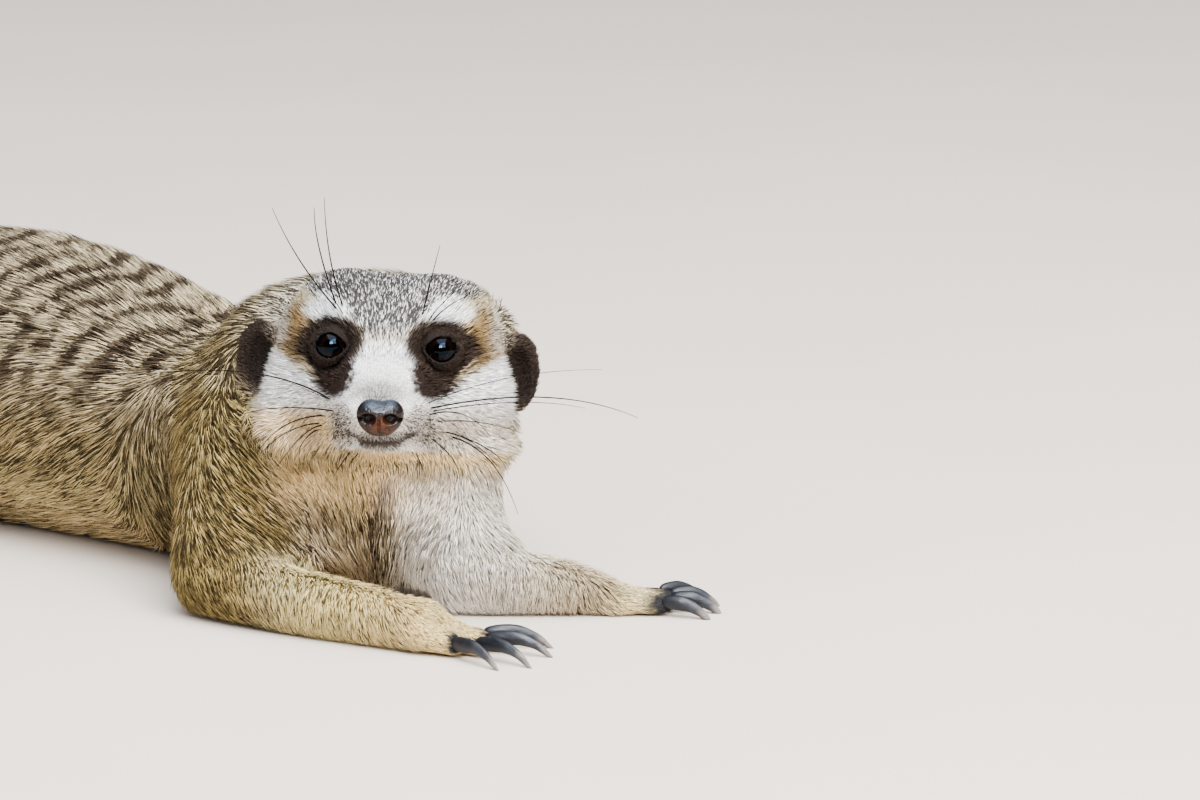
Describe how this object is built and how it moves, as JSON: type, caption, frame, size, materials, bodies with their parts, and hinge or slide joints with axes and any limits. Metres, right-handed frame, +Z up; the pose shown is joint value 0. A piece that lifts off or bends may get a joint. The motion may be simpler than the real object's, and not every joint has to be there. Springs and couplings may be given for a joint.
{
  "type": "meerkat",
  "caption": "Life-size meerkat lying on its belly with forelegs stretched out, head raised and turned to its right, hind legs folded and tail curled on the floor.",
  "frame": {"origin": "under the middle of the bounding box, on the floor the animal lies on", "axes": "+Z up; the longest extent runs along X, with the forefeet towards +X and the rump and tail towards -X; the face looks towards -Y"},
  "size_m": [0.3264, 0.2291, 0.1088],
  "materials": {
    "back_fur": "soft short coat, grey-buff with dark brown broken bands, matte",
    "side_fur": "shaggy tan coat with dark tips, matte",
    "pale_fur": "cream coat, matte",
    "face_fur": "short flat white and grey coat with dark patches round the eyes, matte",
    "dark_fur": "short black-brown coat, matte",
    "nose": "damp dark brown bare skin, fine grained, satin",
    "eye": "dark brown eye, wet gloss",
    "claw": "slate grey horn, paler at the tip, satin"
  },
  "bodies": {
    "root": {"head": "face_fur", "muzzle": "face_fur", "lower_jaw": "pale_fur", "nose": "nose", "whisker_right_1": "dark_fur", "whisker_right_2": "dark_fur", "whisker_right_3": "dark_fur", "whisker_left_1": "dark_fur", "whisker_left_2": "dark_fur", "whisker_left_3": "dark_fur", "brow_bristle_right_1": "dark_fur", "brow_bristle_right_2": "dark_fur", "brow_bristle_right_3": "dark_fur", "brow_bristle_left_1": "dark_fur", "eye_right": "eye", "ear_right": "dark_fur", "eye_left": "eye", "ear_left": "dark_fur", "neck": "back_fur", "chest": "back_fur", "belly": "back_fur", "rump": "back_fur", "tail_base": "side_fur", "tail_middle": "side_fur", "tail_tip": "side_fur", "upper_arm_right": "side_fur", "forearm_right": "pale_fur", "forefoot_right": "pale_fur", "thigh_right": "side_fur", "shank_right": "side_fur", "hindfoot_right": "pale_fur", "forefoot_right_claw_1": "claw", "hindfoot_right_claw_1": "claw", "forefoot_right_claw_2": "claw", "hindfoot_right_claw_2": "claw", "forefoot_right_claw_3": "claw", "hindfoot_right_claw_3": "claw", "forefoot_right_claw_4": "claw", "hindfoot_right_claw_4": "claw", "upper_arm_left": "side_fur", "forearm_left": "pale_fur", "forefoot_left": "pale_fur", "thigh_left": "side_fur", "shank_left": "side_fur", "hindfoot_left": "pale_fur", "forefoot_left_claw_1": "claw", "hindfoot_left_claw_1": "claw", "forefoot_left_claw_2": "claw", "hindfoot_left_claw_2": "claw", "forefoot_left_claw_3": "claw", "hindfoot_left_claw_3": "claw", "forefoot_left_claw_4": "claw", "hindfoot_left_claw_4": "claw"}
  },
  "joints": []
}
